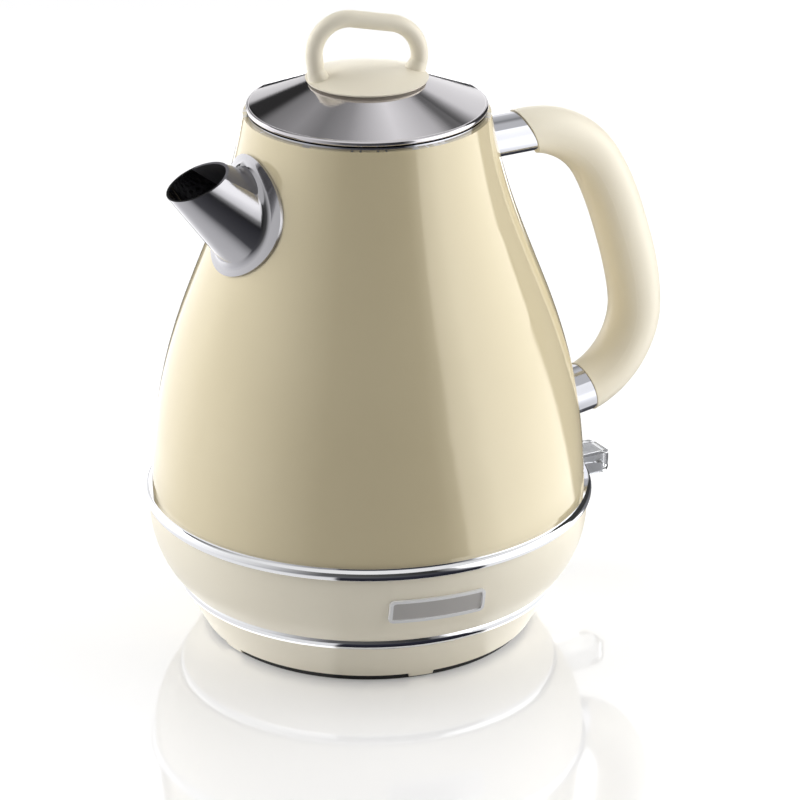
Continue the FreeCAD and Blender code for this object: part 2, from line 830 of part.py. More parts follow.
def steam_seal():
    lip_r = steam_tube_r + steam_seal_thick + steam_seal_lip
    groove_r = steam_tube_r + steam_seal_thick - weld_gap
    low = plate_z - steam_seal_rim
    plate_top = plate_z + plate_thick
    high = plate_top + steam_seal_rim
    seal = join([post(groove_r, low, high, steam_tube_x),
                 post(lip_r, low, plate_z, steam_tube_x),
                 post(lip_r, plate_top, high, steam_tube_x)])
    return seal.cut(post(steam_tube_r + weld_gap, 0, far, steam_tube_x))


# Levers
def trip_axle(r):
    reach = across * (trip_width / 2 + slide_gap + trip_ear_thick)
    place = Vector(trip_pivot_x, 0, trip_pivot_z)
    return rod(r, place - reach, place + reach)


def trip_lever():
    bar = block(trip_pivot_x - trip_front_length, trip_pivot_x + trip_back_length,
                -trip_width / 2, trip_width / 2,
                trip_pivot_z - trip_bar_thick / 2, trip_pivot_z + trip_bar_thick / 2)
    return join([bar, trip_axle(trip_pivot_r)])


def switch_profile(inset):
    """Side view of the paddle as a prism across its width, drawn in from its edges."""
    x0 = switch_pivot_x
    tip = switch_pivot_x + switch_reach - inset
    top = switch_pivot_z + switch_top_rise - inset
    under = switch_pivot_z - switch_under_drop + inset
    hub = min(switch_hub_r, switch_top_rise, switch_under_drop) - inset
    root = switch_pivot_x + switch_hub_r + skirt_wall
    edges = chain([
        (x0, switch_pivot_z - hub), (x0, switch_pivot_z + hub), (root, switch_pivot_z + hub),
        (root + switch_hub_r, top), (tip, top), (tip, under), (root + switch_hub_r, under),
        (x0, switch_pivot_z - hub)])
    width = switch_width - 2 * inset
    prism = Part.Face(Part.Wire(edges)).extrude(across * width)
    prism.translate(across * (-width / 2))
    nose = [e for e in prism.Edges if e.BoundBox.XMin > tip - 0.1 and e.BoundBox.ZLength < 0.1]
    nose = [e for e in nose if e.CenterOfMass.z > switch_pivot_z]
    prism = prism.makeFillet(switch_nose_r - inset, nose)
    chin = [e for e in prism.Edges if e.BoundBox.XMin > tip - 0.1 and e.BoundBox.ZMax < under + 0.1]
    return prism.makeFillet(switch_chin_r - inset, chin)


def switch_lever():
    paddle = switch_profile(0)
    plan_r = switch_width / 2
    nose = switch_pivot_x + switch_reach - plan_r
    plan = join([post(plan_r, 0, far, nose), block(0, nose, -plan_r, plan_r, 0, far)])
    paddle = paddle.common(plan)
    hub = rod(switch_hub_r, Vector(switch_pivot_x, -plan_r, switch_pivot_z),
              Vector(switch_pivot_x, plan_r, switch_pivot_z))
    tail = block(switch_pivot_x - switch_tail_length, switch_pivot_x, -plan_r / 2, plan_r / 2,
                 switch_pivot_z - switch_tail_thick / 2, switch_pivot_z + switch_tail_thick / 2)
    inner_plan = join([post(plan_r - switch_wall, 0, far, nose),
                       block(0, nose, -plan_r + switch_wall, plan_r - switch_wall, 0, far)])
    start = switch_pivot_x + switch_hub_r + switch_wall
    pocket = switch_profile(switch_wall).common(inner_plan)
    pocket = pocket.common(block(start, far, -far, far, 0, far))
    drop = pocket.copy()
    drop.translate(up * -switch_wall * 2)
    lever = join([paddle, hub, tail]).cut([pocket, drop])
    return lever.cut(pivot_rod(switch_pin_r + pin_gap))


def pivot_rod(r):
    reach = across * (switch_width / 2 + slide_gap + switch_ear_thick)
    place = Vector(switch_pivot_x, 0, switch_pivot_z)
    return rod(r, place - reach, place + reach)


def switch_pin():
    return pivot_rod(switch_pin_r)


def lamp_rod(r):
    z = jug_floor_top + floor_boss_height / 2
    return rod(r, Vector(lamp_x - lamp_length / 2, 0, z), Vector(lamp_x + lamp_length / 2, 0, z))


def indicator_lamp():
    return lamp_rod(lamp_r)


# Handle
def handle_path():
    """Points, headings and lengths along the handle's centre line, from top to bottom."""
    stops = [(Vector(handle_top_x - handle_tail, 0, handle_top_z), 0.0),
             (Vector(handle_top_x, 0, handle_top_z), 0.0)]
    place, heading = stops[-1]
    bends = [(upper_bend_r, upper_bend_turn), (back_bend_r, back_bend_turn),
             (lower_bend_r, lower_bend_turn)]
    for radius, turn in bends:
        centre = place + Vector(math.sin(heading), 0, -math.cos(heading)) * radius
        steps = max(2, round(turn / section_turn))
        start = heading
        for i in range(1, steps + 1):
            heading = start - math.radians(turn) * i / steps
            place = centre - Vector(math.sin(heading), 0, -math.cos(heading)) * radius
            stops.append((place, heading))
    return stops


def handle_radius(share):
    """Grip radius at a share of the way down: slim at the ends and full in the middle."""
    end_r = handle_top_r if share < 0.5 else handle_low_r
    return end_r + (handle_mid_r - end_r) * math.sin(math.pi * share)


def handle_frames():
    stops = handle_path()
    lengths = [0.0]
    for (a, _), (b, _) in zip(stops, stops[1:]):
        lengths.append(lengths[-1] + (b - a).Length)
    for (place, heading), length in zip(stops, lengths):
        tangent = slope_direction(math.degrees(heading))
        facing = FreeCAD.Rotation(across, tangent.cross(across), tangent, "ZXY")
        yield FreeCAD.Placement(place, facing), handle_radius(length / lengths[-1])


def handle_loft(inset):
    sections = []
    for frame, radius in handle_frames():
        ring = Part.Wire(Part.makeCircle(radius - inset))
        ring.Placement = frame
        sections.append(ring)
    return Part.makeLoft(sections, True)


def handle_strip():
    """Region on the inner side of the handle that the cover takes."""
    sections = []
    for frame, radius in handle_frames():
        seam = -radius * handle_seam_share
        low = -radius * 2
        corners = [Vector(-radius * 2, low, 0), Vector(radius * 2, low, 0),
                   Vector(radius * 2, seam, 0), Vector(-radius * 2, seam, 0)]
        outline = Part.makePolygon(corners + corners[:1])
        outline.Placement = frame
        sections.append(outline)
    return Part.makeLoft(sections, True)


def lower_bend_centre():
    end, heading = handle_path()[-1]
    return end + Vector(math.sin(heading), 0, -math.cos(heading)) * lower_bend_r


def lower_bend_way(turn):
    """Direction from the lower bend's centre to its centre line, so far round it."""
    heading = handle_path()[-1][1] + math.radians(lower_bend_turn - turn)
    return Vector(-math.sin(heading), 0, math.cos(heading))


def lower_bend_point(turn):
    return lower_bend_centre() + lower_bend_way(turn) * lower_bend_r


def upper_joint():
    return Vector(handle_top_x, 0, handle_top_z), slope_direction(upper_cut_tilt)


def lower_joint():
    return lower_bend_point(lower_cut_turn), slope_direction(lower_cut_tilt)


def outside_joints(shape):
    """The part of a shape on the handle's side of both ferrule joints."""
    for place, normal in (upper_joint(), lower_joint()):
        shape = shape.cut(beyond(place, normal * -1).common(
            block(0, far, -far, far, place.z - joint_reach, place.z + joint_reach)))
    return shape


def handle_hollow():
    return outside_joints(handle_loft(0).cut(handle_loft(handle_wall)))


def screw_lines():
    """Seat and heading of each handle screw, from the grip's underside towards its bracket."""
    upper_place = upper_joint()[0] + Vector(bracket_into_handle - upper_screw_setback, 0, 0)
    lower_turn = lower_cut_turn - lower_screw_turn
    lower_way = lower_bend_way(lower_turn)
    lower_place = lower_bend_point(lower_turn)
    return [(upper_place - up * (handle_top_r - handle_wall / 2), up),
            (lower_place + lower_way * (handle_low_r - handle_wall / 2), lower_way * -1)]


def screw_holes():
    holes = []
    for seat, way in screw_lines():
        holes.append(rod(handle_screw_r + pin_gap, seat - way * handle_low_r, seat + way * handle_low_r))
        holes.append(rod(handle_screw_head_r + pin_gap, seat - way * handle_low_r, seat))
    return holes


def handle_grip():
    return handle_hollow().cut([handle_strip()] + screw_holes())


def handle_cover():
    return handle_hollow().common(handle_strip()).cut(screw_holes())


def handle_screws():
    screws = []
    for seat, way in screw_lines():
        screws.append(screw(handle_screw_r, handle_screw_head_r,
                            seat + way * handle_screw_length, seat, handle_screw_head_thick))
    return screws


def ferrule(place, axis, normal, outer_r):
    inside = place - axis * (far / 4)
    outside = place + axis * outer_r * 2
    tube = rod(outer_r, inside, outside).cut(rod(outer_r - ferrule_wall, inside, outside))
    tube = tube.cut([beyond(place, normal), body_solid(weld_gap)])
    return max(tube.Solids, key=lambda solid: solid.CenterOfMass.x)


def upper_ferrule():
    place, normal = upper_joint()
    return ferrule(place, Vector(1, 0, 0), normal, handle_top_r - ferrule_step)


def lower_ferrule():
    place, normal = lower_joint()
    return ferrule(place, slope_direction(lower_ferrule_tilt), normal, handle_low_r - ferrule_step)


def bracket(place, axis):
    bar = rod(bracket_r, place - axis * (far / 4), place + axis * bracket_into_handle)
    bar = bar.cut(body_solid(weld_gap))
    return max(bar.Solids, key=lambda solid: solid.CenterOfMass.x)


def handle_brackets():
    bars = [bracket(upper_joint()[0], Vector(1, 0, 0)),
            bracket(lower_joint()[0], slope_direction(lower_ferrule_tilt))]
    return [bar.cut(rod(handle_screw_r + weld_gap, seat, seat + way * handle_low_r))
            for bar, (seat, way) in zip(bars, screw_lines())]


# Lid
def lid_cover():
    low = lid_rim_z
    cone_low = low + lid_rim_bead
    cone_high = knob_z
    inner_r = liner_r + weld_gap
    edges = [arc((lid_rim_r - lid_rim_bead, low), (lid_rim_r, low + lid_rim_bead),
                 (lid_rim_r - lid_rim_bead, low + 2 * lid_rim_bead))]
    edges += chain([
        (lid_rim_r - lid_rim_bead, low + 2 * lid_rim_bead), (lid_cone_top_r, cone_high + lid_rim_bead),
        (0, cone_high + lid_rim_bead), (0, cone_high + lid_rim_bead - lid_sheet),
        (lid_cone_top_r, cone_high + lid_rim_bead - lid_sheet),
        (inner_r, cone_low), (inner_r, low), (lid_rim_r - lid_rim_bead, low)])
    cover = spin(edges)
    return cover.cut([post(lid_screw_r + pin_gap, 0, far, side * lid_screw_x) for side in (-1, 1)])


def lid_liner():
    low = lid_rim_z - liner_depth
    high = lid_rim_z + lid_rim_bead
    inner_r = liner_r - liner_wall
    return lathe([(liner_r, low), (liner_r, high), (inner_r, high), (inner_r, low + liner_wall),
                  (0, low + liner_wall), (0, low)])


def knob_bend(side):
    """Centre and radius of the loop's bend above one foot."""
    if side < 0:
        rise, bend = knob_front_rise, knob_front_bend
    else:
        rise, bend = knob_back_rise, knob_back_bend
    return at(side * (knob_half_span - bend), knob_z + rise - bend), bend


def knob_leg(side):
    """Foot of one leg, and the angle round its bend where the leg meets it."""
    foot = at(side * knob_foot_x, knob_z + lid_rim_bead + knob_disc_edge)
    centre, bend = knob_bend(side)
    gap = foot - centre
    angle = math.atan2(gap.z, gap.x) + side * math.acos(bend / gap.Length)
    return foot, angle % (2 * math.pi) if side < 0 else angle


def on_bend(side, angle):
    centre, bend = knob_bend(side)
    return centre + Vector(math.cos(angle), 0, math.sin(angle)) * bend


def knob_loop():
    """Round bar of the loop, higher towards the spout, drawn in the plane y = 0."""
    front, front_bend = knob_bend(-1)
    back, back_bend = knob_bend(1)
    gap = back - front
    lean = math.atan2(gap.z, gap.x) + math.acos((front_bend - back_bend) / gap.Length)
    front_foot, front_angle = knob_leg(-1)
    back_foot, back_angle = knob_leg(1)
    front_side, front_top = on_bend(-1, front_angle), on_bend(-1, lean)
    back_top, back_side = on_bend(1, lean), on_bend(1, back_angle)
    path = Part.Wire([
        Part.makeLine(front_foot, front_side),
        Part.Arc(front_side, on_bend(-1, (front_angle + lean) / 2), front_top).toShape(),
        Part.makeLine(front_top, back_top),
        Part.Arc(back_top, on_bend(1, (back_angle + lean) / 2), back_side).toShape(),
        Part.makeLine(back_side, back_foot)])
    section = Part.Wire(Part.makeCircle(knob_loop_r, front_foot, front_side - front_foot))
    return path.makePipeShell([section], True, False)


def knob_foot(side):
    """Flare at the foot of one leg, upright on the outer side."""
    foot, angle = knob_leg(side)
    along = (on_bend(side, angle) - foot).normalize()
    wide = Part.makeCircle(knob_loop_r + knob_foot_flare, foot - at(side * knob_foot_flare, 0), up)
    slim = Part.makeCircle(knob_loop_r - slide_gap, foot + along * knob_foot_height, along)
    return Part.makeLoft([Part.Wire(wide), Part.Wire(slim)], True)


def lid_knob():
    low = knob_z + lid_rim_bead
    edge = low + knob_disc_edge
    dome_z = low + knob_dome_rise
    dome = (knob_disc_r ** 2 + (dome_z - edge) ** 2) / (2 * (dome_z - edge))
    half = math.asin(knob_disc_r / dome) / 2
    waist = (dome * math.sin(half), dome_z - dome + dome * math.cos(half))
    edges = chain([(0, low), (knob_disc_r - knob_disc_edge / 2, low), (knob_disc_r, edge)])
    edges.append(arc((knob_disc_r, edge), waist, (0, dome_z)))
    edges.append(line((0, dome_z), (0, low)))
    knob = join([spin(edges), knob_loop()] + [knob_foot(side) for side in (-1, 1)])
    return knob.cut([post(lid_screw_r + weld_gap, 0, low + lid_screw_bite, side * lid_screw_x)
                     for side in (-1, 1)])


def lid_screws():
    seat = knob_z + lid_rim_bead - lid_sheet
    tip = seat + lid_sheet + lid_screw_bite - slide_gap
    return [screw(lid_screw_r, lid_screw_r * 2, Vector(side * lid_screw_x, 0, tip),
                  Vector(side * lid_screw_x, 0, seat), screw_head_thick) for side in (-1, 1)]


def lid_gasket():
    outer_r = mouth_r - collar_wall - slide_gap
    inner_r = liner_r + weld_gap
    low = lid_rim_z - liner_depth / 2
    return lathe([(inner_r, low), (outer_r, low + gasket_height / 3),
                  (outer_r, low + gasket_height * 2 / 3), (inner_r, low + gasket_height)])


fixed_parts = [
    base_shell, base_trim_ring, base_floor, foot_ring, base_screws, base_connector, base_contacts,
    cord_outlet, cord_clamp, clamp_screws, skirt, skirt_ring, badge_plate, jug_floor, floor_screws,
    heater_studs, body_shell, rim_collar, spout, filter_frame, filter_mesh, heater_plate,
    heating_element, heat_spreader, control_housing, plug_contacts, dry_boil_discs, steam_disc,
    steam_tube, steam_seal, trip_lever, switch_lever, switch_pin, indicator_lamp, handle_grip,
    handle_cover, handle_screws, handle_brackets, upper_ferrule, lower_ferrule]
lid_parts = [lid_cover, lid_liner, lid_gasket, lid_knob, lid_screws]


def export(make, turn):
    made = make()
    solids = made if isinstance(made, list) else [made]
    shape = turned(Part.makeCompound(solids) if len(solids) > 1 else solids[0], turn)
    shape.exportStep("parts/" + make.__name__ + ".step")
    print(make.__name__, len(shape.Solids), round(shape.Volume, 1), shape.isValid())


os.makedirs("parts", exist_ok=True)
for make in fixed_parts:
    export(make, 0.0)
for make in lid_parts:
    export(make, lid_turn)
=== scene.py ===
import bpy
import bmesh
import math
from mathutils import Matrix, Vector

# Cordless kettle: cream enamel jug, bright trim and pale mouldings on a white studio floor
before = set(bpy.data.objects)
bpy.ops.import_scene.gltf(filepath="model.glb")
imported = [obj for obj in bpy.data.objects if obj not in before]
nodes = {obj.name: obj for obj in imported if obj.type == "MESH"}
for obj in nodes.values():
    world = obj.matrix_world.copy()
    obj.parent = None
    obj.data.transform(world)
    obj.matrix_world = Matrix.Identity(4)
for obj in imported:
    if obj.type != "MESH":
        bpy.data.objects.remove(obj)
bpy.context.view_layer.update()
print("frame loaded with", len(nodes), "nodes")

noiseSpan = (0.3, 0.7)      # most of a noise's values lie here
onOff = (0.0, 1.0)          # a mask's own values
levelOnly = (1, 1, 0)       # drops the height from a place
quarterTurn, halfTurn = 90, 180


# Small helpers for shader trees
def addNode(tree, kind, **settings):
    node = tree.nodes.new(kind)
    for key, value in settings.items():
        setattr(node, key, value)
    return node


def feed(tree, socket, value):
    if isinstance(value, bpy.types.NodeSocket):
        tree.links.new(value, socket)
    else:
        socket.default_value = value


def startMaterial(name):
    material = bpy.data.materials.new(name)
    material.use_nodes = True
    return material, material.node_tree, material.node_tree.nodes["Principled BSDF"]


def setSockets(shader, values):
    for name, value in values.items():
        shader.inputs[name].default_value = value


def sourceOf(shader, name):
    return shader.inputs[name].links[0].from_socket


def objectCoords(tree, scale=(1, 1, 1), turn=0.0):
    coords = addNode(tree, "ShaderNodeTexCoord")
    mapping = addNode(tree, "ShaderNodeMapping")
    mapping.inputs["Rotation"].default_value = (0, 0, math.radians(turn))
    mapping.inputs["Scale"].default_value = scale
    tree.links.new(coords.outputs["Object"], mapping.inputs["Vector"])
    return mapping.outputs["Vector"]


def noiseOf(tree, vector, scale, detail):
    node = addNode(tree, "ShaderNodeTexNoise")
    node.inputs["Scale"].default_value = scale
    node.inputs["Detail"].default_value = detail
    tree.links.new(vector, node.inputs["Vector"])
    return node.outputs["Fac"]


def rangeOf(tree, value, low, high, span=noiseSpan):
    node = addNode(tree, "ShaderNodeMapRange")
    tree.links.new(value, node.inputs["Value"])
    for name, number in zip(("From Min", "From Max", "To Min", "To Max"), (*span, low, high)):
        node.inputs[name].default_value = number
    return node.outputs["Result"]


def mathOf(tree, operation, *values):
    node = addNode(tree, "ShaderNodeMath", operation=operation)
    for socket, value in zip(node.inputs, values):
        feed(tree, socket, value)
    return node.outputs["Value"]


def product(tree, first, *others):
    for other in others:
        first = mathOf(tree, "MULTIPLY", first, other)
    return first


def within(tree, value, half):
    return mathOf(tree, "LESS_THAN", mathOf(tree, "ABSOLUTE", value), half)


def vectorOf(tree, operation, *values, result="Vector"):
    node = addNode(tree, "ShaderNodeVectorMath", operation=operation)
    for socket, value in zip(node.inputs, values):
        feed(tree, socket, value)
    return node.outputs[result]


def splitOf(tree, vector):
    node = addNode(tree, "ShaderNodeSeparateXYZ")
    tree.links.new(vector, node.inputs["Vector"])
    return node.outputs


def mixColours(tree, factor, first, second):
    node = addNode(tree, "ShaderNodeMix", data_type="RGBA")
    tree.links.new(factor, node.inputs["Factor"])
    for name, colour in (("A", first), ("B", second)):
        socket = [s for s in node.inputs if s.name == name and s.type == "RGBA"][0]
        feed(tree, socket, (*colour, 1) if isinstance(colour, tuple) else colour)
    return [s for s in node.outputs if s.type == "RGBA"][0]


def bumpOf(tree, height, strength, distance, under=None):
    node = addNode(tree, "ShaderNodeBump")
    node.inputs["Strength"].default_value = strength
    node.inputs["Distance"].default_value = distance
    tree.links.new(height, node.inputs["Height"])
    if under:
        tree.links.new(under, node.inputs["Normal"])
    return node.outputs["Normal"]


wearDetail = {"mottle": 3.0, "smudge": 4.0, "grain": 2.0}


def wear(tree, shader, look):
    # colour mottling, roughness smudges and a fine surface grain, all on object coordinates
    plain = objectCoords(tree)
    grainAt = objectCoords(tree, look.get("grainStretch", (1, 1, 1)), look.get("grainTurn", 0.0))
    mottle = noiseOf(tree, plain, look["mottleScale"], wearDetail["mottle"])
    smudge = noiseOf(tree, plain, look["smudgeScale"], wearDetail["smudge"])
    grain = noiseOf(tree, grainAt, look["grainScale"], wearDetail["grain"])
    colour = mixColours(tree, rangeOf(tree, mottle, *onOff), look["shade"], look["colour"])
    tree.links.new(colour, shader.inputs["Base Color"])
    roughness = rangeOf(tree, smudge, *look["roughness"])
    if "grainRough" in look:
        streak = rangeOf(tree, grain, -look["grainRough"], look["grainRough"])
        roughness = mathOf(tree, "ADD", roughness, streak)
    tree.links.new(roughness, shader.inputs["Roughness"])
    normal = bumpOf(tree, grain, look["grainStrength"], look["grainDepth"])
    tree.links.new(normal, shader.inputs["Normal"])


def startFinish(name, look):
    material, tree, shader = startMaterial(name)
    setSockets(shader, look.get("sockets", {}))
    wear(tree, shader, look)
    return material, tree, shader


def plainFinish(name, look):
    return startFinish(name, look)[0]


def dress(material, *names):
    for name in names:
        nodes[name].data.materials.clear()
        nodes[name].data.materials.append(material)


# Jug: glossy cream enamel with a slight orange peel, bare steel inside
enamelLook = {
    "colour": (0.674, 0.586, 0.389), "shade": (0.653, 0.564, 0.368), "mottleScale": 14.0,
    "smudgeScale": 30.0, "roughness": (0.035, 0.055),
    "grainScale": 160.0, "grainStrength": 0.02, "grainDepth": 0.0002,
    "sockets": {"IOR": 2.2, "Specular Tint": (1.0, 0.94, 0.78, 1.0)},
    "bare": (0.56, 0.56, 0.565), "bareRoughness": 0.24,     # added to the enamel's roughness
}


def jugSheet(name, look):
    # the sheet is bare where it faces the jug's own axis
    material, tree, shader = startFinish(name, look)
    coords = addNode(tree, "ShaderNodeTexCoord").outputs
    outward = vectorOf(tree, "MULTIPLY", coords["Object"], levelOnly)
    facing = vectorOf(tree, "DOT_PRODUCT", outward, coords["Normal"], result="Value")
    inside = mathOf(tree, "LESS_THAN", facing, 0.0)
    colour = mixColours(tree, inside, sourceOf(shader, "Base Color"), look["bare"])
    dull = product(tree, inside, look["bareRoughness"])
    roughness = mathOf(tree, "ADD", sourceOf(shader, "Roughness"), dull)
    tree.links.new(colour, shader.inputs["Base Color"])
    tree.links.new(roughness, shader.inputs["Roughness"])
    tree.links.new(inside, shader.inputs["Metallic"])
    return material


dress(jugSheet("creamEnamel", enamelLook), "body_shell")

# Pale mouldings: skirt, base, handle and knob
mouldingLook = {
    "colour": (0.865, 0.81, 0.672), "shade": (0.845, 0.785, 0.647), "mottleScale": 18.0,
    "smudgeScale": 45.0, "roughness": (0.33, 0.38),
    "grainScale": 900.0, "grainStrength": 0.04, "grainDepth": 0.0003,
    "sockets": {"Specular IOR Level": 0.36, "Coat Weight": 0.1, "Coat Roughness": 0.09},
}
dress(plainFinish("creamMoulding", mouldingLook),
      "skirt", "base_shell", "handle_grip", "handle_cover", "lid_knob")

# Bright plated trim
platedLook = {
    "colour": (0.54, 0.545, 0.58), "shade": (0.50, 0.505, 0.54), "mottleScale": 30.0,
    "smudgeScale": 60.0, "roughness": (0.03, 0.08),
    "grainScale": 700.0, "grainStrength": 0.015, "grainDepth": 0.0002,
    "sockets": {"Metallic": 1.0},
}
dress(plainFinish("platedTrim", platedLook), "upper_ferrule", "lower_ferrule", "rim_collar")

# Rings: the same plating, coloured brighter than the trim as a painted highlight
ringLitLook = {
    "colour": (0.90, 0.905, 0.925), "shade": (0.87, 0.875, 0.895), "mottleScale": 30.0,
    "smudgeScale": 60.0, "roughness": (0.03, 0.06),
    "grainScale": 700.0, "grainStrength": 0.01, "grainDepth": 0.0002,
    "sockets": {"Metallic": 1.0},
}
dress(plainFinish("ringPaintedBright", ringLitLook), "skirt_ring", "base_trim_ring")

# Spout: polished sheet outside; inside, a dark grey with no metal, painted shade for its cavity
spoutLook = {
    "colour": (0.45, 0.445, 0.465), "shade": (0.42, 0.415, 0.436), "mottleScale": 40.0,
    "smudgeScale": 70.0, "roughness": (0.10, 0.15),
    "grainScale": 500.0, "grainStrength": 0.02, "grainDepth": 0.0002,
    "sockets": {"Metallic": 1.0},
    # the outer cone starts at its root and narrows by taper; the inside begins below its skin
    "root": (-0.0511, 0.0, 0.1813), "lift": 40.0, "rootRadius": 0.0175, "taper": 0.2296,
    "skin": 0.0009, "inside": (0.16, 0.157, 0.172),
}


def spoutSheet(name, look):
    material, tree, shader = startFinish(name, look)
    lift = math.radians(look["lift"])
    axis = Vector((-math.cos(lift), 0, math.sin(lift)))
    offset = vectorOf(tree, "SUBTRACT", objectCoords(tree), look["root"])
    along = vectorOf(tree, "DOT_PRODUCT", offset, axis, result="Value")
    across = vectorOf(tree, "CROSS_PRODUCT", offset, axis)
    radius = vectorOf(tree, "LENGTH", across, result="Value")
    underSkin = mathOf(tree, "SUBTRACT", look["rootRadius"] - look["skin"],
                       product(tree, along, look["taper"]))
    inside = mathOf(tree, "LESS_THAN", radius, underSkin)
    # painted shade: the spout's inside is coloured dark grey for the shade in its cavity
    colour = mixColours(tree, inside, sourceOf(shader, "Base Color"), look["inside"])
    tree.links.new(colour, shader.inputs["Base Color"])
    tree.links.new(rangeOf(tree, inside, 1.0, 0.0, onOff), shader.inputs["Metallic"])
    return material


dress(spoutSheet("spoutSheet", spoutLook), "spout")

# Lid: polished sheet with faint spinning marks round its axis
lidLook = {
    "colour": (0.71, 0.69, 0.715), "shade": (0.66, 0.638, 0.662), "mottleScale": 22.0,
    "smudgeScale": 50.0, "roughness": (0.05, 0.08),
    "grainScale": 500.0, "grainStrength": 0.01, "grainDepth": 0.0002,
    "sockets": {"Metallic": 1.0},
    "spinPitch": 2600.0, "spinStrength": 0.05, "spinDepth": 0.0001,
}


def spunSheet(name, look):
    material, tree, shader = startFinish(name, look)
    level = vectorOf(tree, "MULTIPLY", objectCoords(tree), levelOnly)
    radius = vectorOf(tree, "LENGTH", level, result="Value")
    rings = addNode(tree, "ShaderNodeTexNoise", noise_dimensions="1D")
    rings.inputs["Scale"].default_value = look["spinPitch"]
    tree.links.new(radius, rings.inputs["W"])
    marks = bumpOf(tree, rings.outputs["Fac"], look["spinStrength"], look["spinDepth"],
                   sourceOf(shader, "Normal"))
    tree.links.new(marks, shader.inputs["Normal"])
    return material


dress(spunSheet("lidSheet", lidLook), "lid_cover")

# Stainless pieces: brushed along the vertical
stainlessLook = {
    "colour": (0.62, 0.62, 0.63), "shade": (0.54, 0.54, 0.555), "mottleScale": 26.0,
    "smudgeScale": 40.0, "roughness": (0.22, 0.34),
    "grainScale": 900.0, "grainStretch": (1, 1, 0.05), "grainRough": 0.06,
    "grainStrength": 0.06, "grainDepth": 0.0002, "sockets": {"Metallic": 1.0},
}
dress(plainFinish("brushedStainless", stainlessLook),
      "heater_plate", "steam_tube", "heating_element", "heater_studs",
      "base_screws", "clamp_screws", "floor_screws", "lid_screws", "handle_screws",
      "handle_brackets", "switch_pin")

# Black mouldings; the spout's filter mesh and frame are also black as painted shade inside the
# spout
blackAndShadeLook = {
    "colour": (0.026, 0.026, 0.028), "shade": (0.017, 0.017, 0.019), "mottleScale": 40.0,
    "smudgeScale": 60.0, "roughness": (0.40, 0.55),
    "grainScale": 1400.0, "grainStrength": 0.12, "grainDepth": 0.0004,
}
dress(plainFinish("blackMouldingAndShade", blackAndShadeLook),
      "base_floor", "base_connector", "cord_outlet", "cord_clamp", "jug_floor",
      "control_housing", "lid_liner", "filter_mesh", "filter_frame")

# Rubber and silicone
rubberLook = {
    "colour": (0.035, 0.034, 0.033), "shade": (0.022, 0.022, 0.022), "mottleScale": 50.0,
    "smudgeScale": 70.0, "roughness": (0.65, 0.8),
    "grainScale": 1100.0, "grainStrength": 0.2, "grainDepth": 0.0004,
    "sockets": {"Specular IOR Level": 0.3},
}
dress(plainFinish("footRubber", rubberLook), "foot_ring")
siliconeLook = {
    "colour": (0.60, 0.60, 0.58), "shade": (0.54, 0.54, 0.52), "mottleScale": 40.0,
    "smudgeScale": 60.0, "roughness": (0.45, 0.6),
    "grainScale": 1000.0, "grainStrength": 0.08, "grainDepth": 0.0003,
}
dress(plainFinish("paleSilicone", siliconeLook), "steam_seal", "lid_gasket")

# Contacts and discs, cast spreader, white moulding
brassLook = {
    "colour": (0.74, 0.57, 0.28), "shade": (0.62, 0.45, 0.20), "mottleScale": 70.0,
    "smudgeScale": 90.0, "roughness": (0.2, 0.34),
    "grainScale": 1200.0, "grainStrength": 0.05, "grainDepth": 0.0002,
    "sockets": {"Metallic": 1.0},
}
dress(plainFinish("contactBrass", brassLook),
      "base_contacts", "plug_contacts", "dry_boil_discs", "steam_disc")
castLook = {
    "colour": (0.70, 0.70, 0.72), "shade": (0.58, 0.58, 0.60), "mottleScale": 60.0,
    "smudgeScale": 80.0, "roughness": (0.4, 0.55),
    "grainScale": 800.0, "grainStrength": 0.2, "grainDepth": 0.0005,
    "sockets": {"Metallic": 1.0},
}
dress(plainFinish("castAlloy", castLook), "heat_spreader")
whiteLook = {
    "colour": (0.80, 0.80, 0.78), "shade": (0.76, 0.76, 0.74), "mottleScale": 30.0,
    "smudgeScale": 50.0, "roughness": (0.35, 0.45),
    "grainScale": 900.0, "grainStrength": 0.05, "grainDepth": 0.0003,
}
dress(plainFinish("whiteMoulding", whiteLook), "trip_lever")

# Clear pieces: the switch lever and the lamp
leverLook = {
    "colour": (0.86, 0.87, 0.89), "shade": (0.74, 0.755, 0.78), "mottleScale": 60.0,
    "smudgeScale": 90.0, "roughness": (0.02, 0.07),
    "grainScale": 260.0, "grainStrength": 0.03, "grainDepth": 0.0004,
    "sockets": {"Transmission Weight": 1.0, "IOR": 1.49},
}
dress(plainFinish("clearMoulding", leverLook), "switch_lever")
lampLook = {
    "colour": (0.92, 0.62, 0.36), "shade": (0.84, 0.50, 0.26), "mottleScale": 90.0,
    "smudgeScale": 90.0, "roughness": (0.05, 0.12),
    "grainScale": 500.0, "grainStrength": 0.03, "grainDepth": 0.0003,
    "sockets": {"Transmission Weight": 0.8, "IOR": 1.5},
}
dress(plainFinish("amberGlass", lampLook), "indicator_lamp")

# Badge: bright rounded frame round a blank brushed panel
badgeLook = {
    "colour": (0.90, 0.90, 0.905), "shade": (0.86, 0.86, 0.87), "mottleScale": 60.0,
    "smudgeScale": 90.0, "roughness": (0.16, 0.24),
    "grainScale": 1500.0, "grainStretch": (0.04, 1, 1), "grainTurn": 11.5, "grainRough": 0.05,
    "grainStrength": 0.02, "grainDepth": 0.0002,
    "metal": 0.1, "panelMetal": 0.25, "panel": (0.60, 0.58, 0.56),
    "panelHalf": (0.0180, 0.0038), "panelHeight": 0.0402,    # across and up; middle above the floor
}


